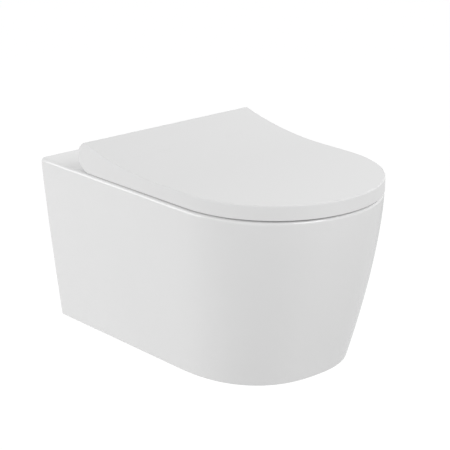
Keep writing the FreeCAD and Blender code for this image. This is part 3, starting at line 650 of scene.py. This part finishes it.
def cover():
    """Thin shell with a skirt, a round end, notches for the posts and two knuckles inside."""
    shell, crease_y = cover_blank(0.0, COVER_LOW_Z - COVER_END_R)
    shell.name = "cover_shell"

    def at_side(middle, way, angle):
        return angle > 50 and middle.z > COVER_LOW_Z + 0.0005

    def at_crease(middle, way, angle):
        return abs(way.y) < 0.5 and abs(middle.y - crease_y) < 0.0012 and middle.z > COVER_TOP_Z

    round_edges(shell, at_side, COVER_ROUND, 4)
    round_edges(shell, at_crease, CREASE_ROUND * 0.21, 3)
    trim_below(shell, (0, HINGE_Y, COVER_REST_Z), COVER_REST_RISE)
    inside, _ = cover_blank(COVER_WALL, BELOW_COVER_Z)
    inner = COVER_HALF_WIDTH - COVER_WALL
    reach = COVER_END_R + 0.016
    low_corner = hinge_point(reach, END_WALL_LOW)
    below_end = [
        (HINGE_Y, HINGE_Z), low_corner, (low_corner[0], BELOW_COVER_Z), (HINGE_Y, BELOW_COVER_Z)]
    cuts = [inside, side_body("below_end", below_end, -inner, inner)]
    near, far = hinge_point(0.005, NOTCH_HIGH), hinge_point(reach, NOTCH_HIGH)
    for sign in (-1, 1):
        low, high = sorted(post_span(sign))
        outline = [near, far, (far[0], NOTCH_LOW_Z), (near[0], NOTCH_LOW_Z)]
        cuts.append(side_body("notch", outline, low - NOTCH_GAP, high + NOTCH_GAP))
    combine(shell, cuts, "DIFFERENCE")
    for sign in (-1, 1):
        low, high = knuckle_span(sign, COVER_KNUCKLE, True)
        knuckle = hinge_bar("knuckle", KNUCKLE_R, low, high)
        web = box("web", low, high, HINGE_Y - WEB_REACH, HINGE_Y + KNUCKLE_R,
                  HINGE_Z, HINGE_Z + WEB_RISE)
        combine(knuckle, [web], "UNION")
        combine(shell, [knuckle], "UNION")
        combine(shell, [socket_cut(low, high, sign < 0)], "DIFFERENCE")
    return finish_mesh(shell)


# ---- finishes

class Signal:
    """A number that changes over a surface; arithmetic with it adds Math nodes."""

    def __init__(self, finish, socket):
        self.finish = finish
        self.socket = socket

    def math(self, operation, first, second):
        return self.finish.node("ShaderNodeMath", {"operation": operation}, {0: first, 1: second})

    def __add__(self, other):
        return self.math("ADD", self, other)

    def __radd__(self, other):
        return self.math("ADD", other, self)

    def __mul__(self, other):
        return self.math("MULTIPLY", self, other)

    def __rmul__(self, other):
        return self.math("MULTIPLY", other, self)


class Finish:
    """A material with one Principled shader."""

    def __init__(self, name, **constants):
        self.material = bpy.data.materials.new(name)
        self.material.use_nodes = True
        self.tree = self.material.node_tree
        self.shader = self.tree.nodes["Principled BSDF"]
        for socket, value in constants.items():
            self.shader.inputs[socket.replace("_", " ")].default_value = value

    def node(self, kind, settings=None, inputs=None, output=0):
        made = self.tree.nodes.new(kind)
        for setting, value in (settings or {}).items():
            setattr(made, setting, value)
        for socket, value in (inputs or {}).items():
            self.feed(made.inputs[socket], value)
        return Signal(self, made.outputs[output])

    def feed(self, socket, value):
        if isinstance(value, Signal):
            self.tree.links.new(value.socket, socket)
        else:
            socket.default_value = value

    def paint(self, **signals):
        for socket, value in signals.items():
            self.feed(self.shader.inputs[socket.replace("_", " ")], value)

    def place(self):
        return self.node("ShaderNodeTexCoord", output="Object")

    def noise(self, scale, detail, stretch=None):
        where = self.place()
        if stretch:
            where = self.node("ShaderNodeMapping", {}, {"Vector": where, "Scale": stretch})
        return self.node("ShaderNodeTexNoise", {}, {"Vector": where, "Scale": scale, "Detail": detail}, "Fac")

    def blend(self, factor, first, second):
        return self.node("ShaderNodeMix", {"data_type": "RGBA"},
                         {0: factor, 6: (*first, 1.0), 7: (*second, 1.0)}, 2)

    def bump(self, height, distance, strength):
        return self.node("ShaderNodeBump", {}, {"Strength": strength, "Distance": distance, "Height": height})


def grey(value):
    return (value, value, value)


def glaze():
    """White sanitary glaze: clear over a white body, with the faint ripple of a fired surface."""
    finish = Finish("glazed_white", IOR=1.5)
    cloud = finish.noise(7.0, 3.0)
    ripple = finish.noise(22.0, 1.0)
    speck = finish.noise(900.0, 1.0)
    finish.paint(
        Base_Color=finish.blend(cloud, grey(0.795), grey(0.815)),
        Roughness=0.07 + 0.05 * cloud,
        Normal=finish.bump(ripple + 0.02 * speck, 0.00006, 0.6),
    )
    return finish.material


def bisque():
    """Unglazed fired clay, inside the casting and on its back."""
    finish = Finish("bare_clay", IOR=1.45)
    cloud = finish.noise(18.0, 4.0)
    grain = finish.noise(1400.0, 3.0)
    finish.paint(
        Base_Color=finish.blend(cloud, (0.70, 0.685, 0.655), (0.78, 0.77, 0.745)),
        Roughness=0.62 + 0.25 * grain,
        Normal=finish.bump(grain + 0.5 * cloud, 0.00012, 0.8),
    )
    return finish.material


def moulded(name, low, high, roughness):
    """Moulded plastic with a fine even grain."""
    finish = Finish(name, IOR=1.5)
    cloud = finish.noise(9.0, 2.0)
    grain = finish.noise(1800.0, 2.0)
    finish.paint(
        Base_Color=finish.blend(cloud, grey(low), grey(high)),
        Roughness=roughness + 0.06 * cloud + 0.04 * grain,
        Normal=finish.bump(grain, 0.00001, 0.5),
    )
    return finish.material


def plated(name, first, second, roughness, brushed=None):
    """Bare or plated metal, with faint marks from turning or brushing."""
    finish = Finish(name, Metallic=1.0)
    cloud = finish.noise(60.0, 3.0)
    marks = finish.noise(400.0, 3.0, brushed)
    finish.paint(
        Base_Color=finish.blend(cloud, first, second),
        Roughness=roughness + 0.12 * marks,
        Normal=finish.bump(marks, 0.000015, 0.5),
    )
    return finish.material


FINISHES = {
    "glazed_white": glaze(),
    "bare_clay": bisque(),
    "seat_white": moulded("seat_white", 0.785, 0.805, 0.17),
    "cover_white": moulded("cover_white", 0.785, 0.805, 0.17),
    "seal_black": moulded("seal_black", 0.018, 0.030, 0.55),
    "sleeve_grey": moulded("sleeve_grey", 0.30, 0.34, 0.40),
    "zinc_steel": plated("zinc_steel", (0.60, 0.61, 0.62), (0.72, 0.72, 0.71), 0.22),
    "post_chrome": plated("post_chrome", (0.74, 0.75, 0.76), (0.80, 0.80, 0.80), 0.06),
    "cap_chrome": plated("cap_chrome", (0.74, 0.75, 0.76), (0.80, 0.80, 0.80), 0.05),
    "stainless": plated("stainless", (0.56, 0.56, 0.55), (0.64, 0.63, 0.62), 0.20, (1.0, 12.0, 12.0)),
    "brass": plated("brass", (0.74, 0.54, 0.26), (0.80, 0.60, 0.32), 0.20),
    "buffer_grey": moulded("buffer_grey", 0.52, 0.58, 0.45),
    "damper_grey": moulded("damper_grey", 0.42, 0.46, 0.33),
}


def dress_nodes():
    """Gives each CAD node the finish of its slot."""
    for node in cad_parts.values():
        slot = node.data.materials[0].name
        node.data.materials.clear()
        node.data.materials.append(FINISHES[slot])


# ---- studio

FLOOR_Z = -0.900
FLOOR_SIZE = 12.0
# the floor's share that glows to the camera, and its strength, which clips to white
FLOOR_GLOW = 0.88
FLOOR_WHITE = 1.08
OBJECT_MIDDLE = Vector((0, -0.27, -0.05))
CAMERA_PLACE = (-1.6872, -2.1880, 0.8469)
CAMERA_LENS = 134.7
# degrees below the level, and round from straight in front
CAMERA_DOWN = 18.47
CAMERA_ROUND = 41.15
WORLD_LEVEL = 0.485


def stage_floor():
    """Pale floor and background: the camera sees it clipped to white, so no shadow shows on it."""
    let_go()
    bpy.ops.mesh.primitive_grid_add(
        x_subdivisions=8, y_subdivisions=8, size=FLOOR_SIZE, location=(0, -0.3, FLOOR_Z))
    floor = bpy.context.active_object
    floor.name = "floor"
    finish = Finish("floor_white", Roughness=0.9)
    cloud = finish.noise(0.8, 2.0)
    finish.paint(Base_Color=finish.blend(cloud, grey(0.80), grey(0.82)))
    output = finish.tree.nodes["Material Output"]
    glow = finish.node("ShaderNodeEmission", {}, {"Color": (1, 1, 1, 1), "Strength": FLOOR_WHITE})
    ray = finish.node("ShaderNodeLightPath", output="Is Camera Ray")
    see = ray * FLOOR_GLOW
    shaders = Signal(finish, finish.shader.outputs[0])
    mixed = finish.node("ShaderNodeMixShader", {}, {0: see, 1: shaders, 2: glow})
    finish.feed(output.inputs["Surface"], mixed)
    floor.data.materials.append(finish.material)


def world_light(level):
    world = bpy.data.worlds.new("studio")
    bpy.context.scene.world = world
    world.use_nodes = True
    tree = world.node_tree
    tree.nodes.clear()

    def node(kind, **inputs):
        made = tree.nodes.new(kind)
        for name, value in inputs.items():
            made.inputs[name].default_value = value
        return made

    path = node("ShaderNodeLightPath")
    seen = node("ShaderNodeMath")
    seen.operation = "MAXIMUM"
    tree.links.new(path.outputs["Is Camera Ray"], seen.inputs[0])
    glossy = node("ShaderNodeMath")
    glossy.operation = "MAXIMUM"
    tree.links.new(path.outputs["Is Glossy Ray"], glossy.inputs[0])
    tree.links.new(path.outputs["Is Transmission Ray"], glossy.inputs[1])
    tree.links.new(glossy.outputs[0], seen.inputs[1])
    light = node("ShaderNodeBackground", Color=(1, 1, 1, 1), Strength=level)
    white = node("ShaderNodeBackground", Color=(1, 1, 1, 1), Strength=1.0)
    mixed = node("ShaderNodeMixShader")
    tree.links.new(seen.outputs[0], mixed.inputs[0])
    tree.links.new(light.outputs[0], mixed.inputs[1])
    tree.links.new(white.outputs[0], mixed.inputs[2])
    output = node("ShaderNodeOutputWorld")
    tree.links.new(mixed.outputs[0], output.inputs["Surface"])


def lamp(name, place, size, power):
    """Soft square lamp that faces the middle of the object."""
    light = bpy.data.lights.new(name, "AREA")
    light.size = size
    light.energy = power
    holder = bpy.data.objects.new(name, light)
    bpy.context.scene.collection.objects.link(holder)
    holder.location = place
    holder.rotation_euler = (OBJECT_MIDDLE - Vector(place)).to_track_quat("-Z", "Y").to_euler()


def photo_camera():
    camera = bpy.data.cameras.new("camera")
    camera.sensor_width = 36.0
    camera.lens = CAMERA_LENS
    camera.clip_start = 0.1
    camera.clip_end = 50.0
    holder = bpy.data.objects.new("camera", camera)
    bpy.context.scene.collection.objects.link(holder)
    holder.location = CAMERA_PLACE
    holder.rotation_euler = (math.radians(90 - CAMERA_DOWN), 0, math.radians(-CAMERA_ROUND))
    bpy.context.scene.camera = holder


# ---- build

pan_body = pan()
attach(pan_body, "pan")
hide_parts("pan", "pan_back", "bowl", "trap", "flush_way", "fixing_boss_left", "fixing_boss_right")

seat_ring = seat()
seat_ring.data.materials.append(FINISHES["seat_white"])
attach(seat_ring, "seat")
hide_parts("seat")

cover_shell = cover()
cover_shell.data.materials.append(FINISHES["cover_white"])
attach(cover_shell, "cover")
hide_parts("cover")

dress_nodes()
stage_floor()
world_light(WORLD_LEVEL)
lamp("front_lamp", (0.0, -2.6, 2.0), 1.4, 35.0)
lamp("rear_left_lamp", (-2.3, 1.5, 0.5), 1.8, 33.2)
lamp("right_lamp", (2.4, -0.1, 1.6), 1.1, 24.5)
lamp("low_lamp", (-2.4, -1.5, -0.2), 1.4, 3.4)
photo_camera()
bpy.context.scene.view_settings.view_transform = "Standard"
